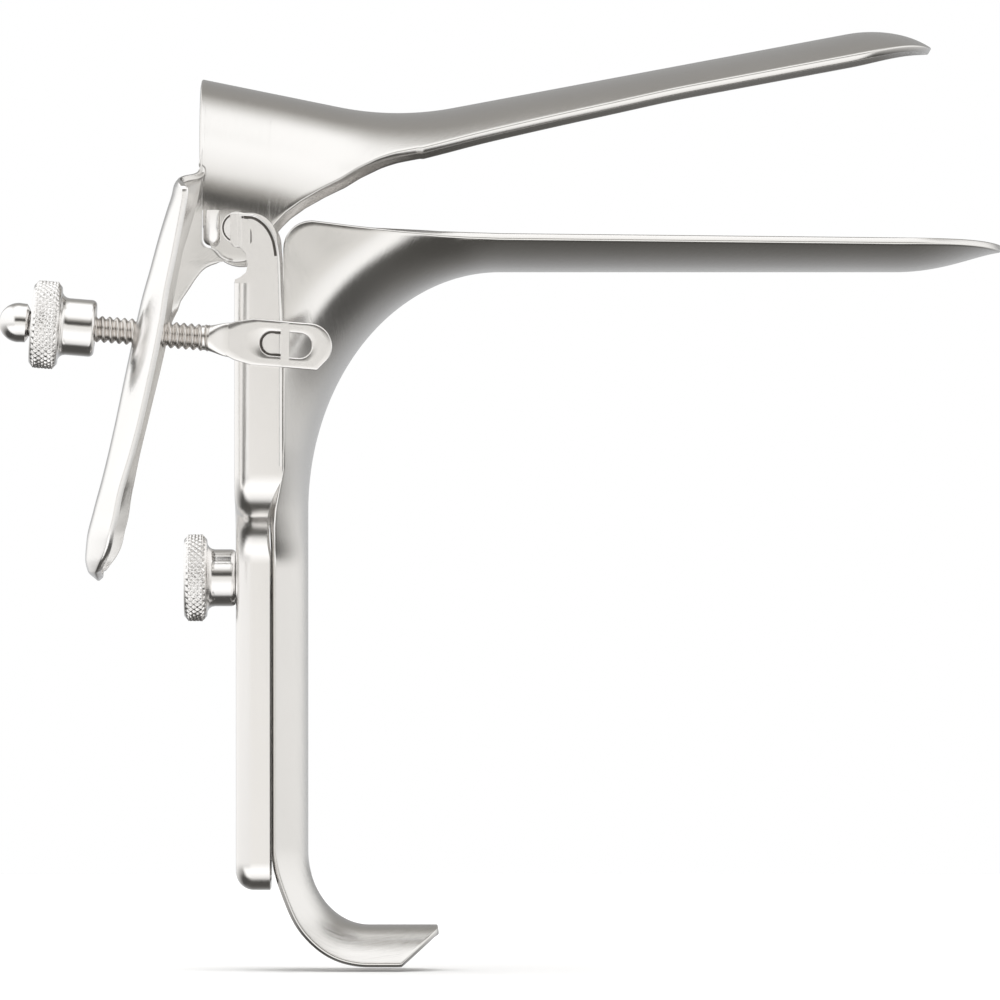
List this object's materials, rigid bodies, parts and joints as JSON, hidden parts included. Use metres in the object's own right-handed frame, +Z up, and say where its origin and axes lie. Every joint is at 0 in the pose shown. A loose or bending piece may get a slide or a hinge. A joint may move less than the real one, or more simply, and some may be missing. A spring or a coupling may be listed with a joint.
{
  "type": "bivalve speculum",
  "caption": "Hand-held surgical speculum: two long trough-shaped blades hinged on a sliding yoke, with a thumb lever, a screw stop and a locking nut, in satin stainless steel.",
  "frame": {"origin": "axis of the upper blade's hinge, on the plane of symmetry", "axes": "+X towards the blade tips, +Z up along the handle towards the blades, -Y towards the side of the thumb lever"},
  "size_m": [0.1431, 0.0578, 0.1343],
  "materials": {
    "satin_steel": "satin brushed stainless steel",
    "polished_steel": "turned and polished stainless steel"
  },
  "bodies": {
    "lower": {"lower_blade": "satin_steel", "locking_stud": "polished_steel"},
    "yoke": {"yoke": "satin_steel", "hinge_stud_near": "polished_steel", "hinge_stud_far": "polished_steel"},
    "upper": {"upper_blade": "satin_steel"},
    "rod": {"adjusting_rod": "satin_steel", "rod_end_stop": "polished_steel"},
    "adjusting_nut": {"adjusting_nut": "polished_steel"},
    "locking_nut": {"locking_nut": "polished_steel"}
  },
  "joints": [
    {"name": "yoke_slide", "type": "slide", "parent": "lower", "child": "yoke", "axis": [0, 0, 1], "range_m": [0, 0.035]},
    {"name": "upper_blade_hinge", "type": "hinge", "parent": "yoke", "child": "upper", "pos_m": [0, 0, 0], "axis": [0, -1, 0], "range_deg": [-15, 18]},
    {"name": "rod_swing", "type": "hinge", "parent": "yoke", "child": "rod", "pos_m": [0.0069, -0.0219, -0.01665], "axis": [0, -1, 0], "range_deg": [-12, 12]},
    {"name": "adjusting_nut_turn", "type": "hinge", "parent": "rod", "child": "adjusting_nut", "pos_m": [0.0069, -0.0219, -0.01665], "axis": [0.9966, 0, -0.0819], "range_deg": [-240, 1800]},
    {"name": "locking_nut_turn", "type": "hinge", "parent": "lower", "child": "locking_nut", "pos_m": [-0.004, 0, -0.05], "axis": [1, 0, 0], "range_deg": [0, 1080]}
  ],
  "couplings": [
    {"joint": "rod_swing", "follows": "upper_blade_hinge", "ratio": 0.62}
  ]
}
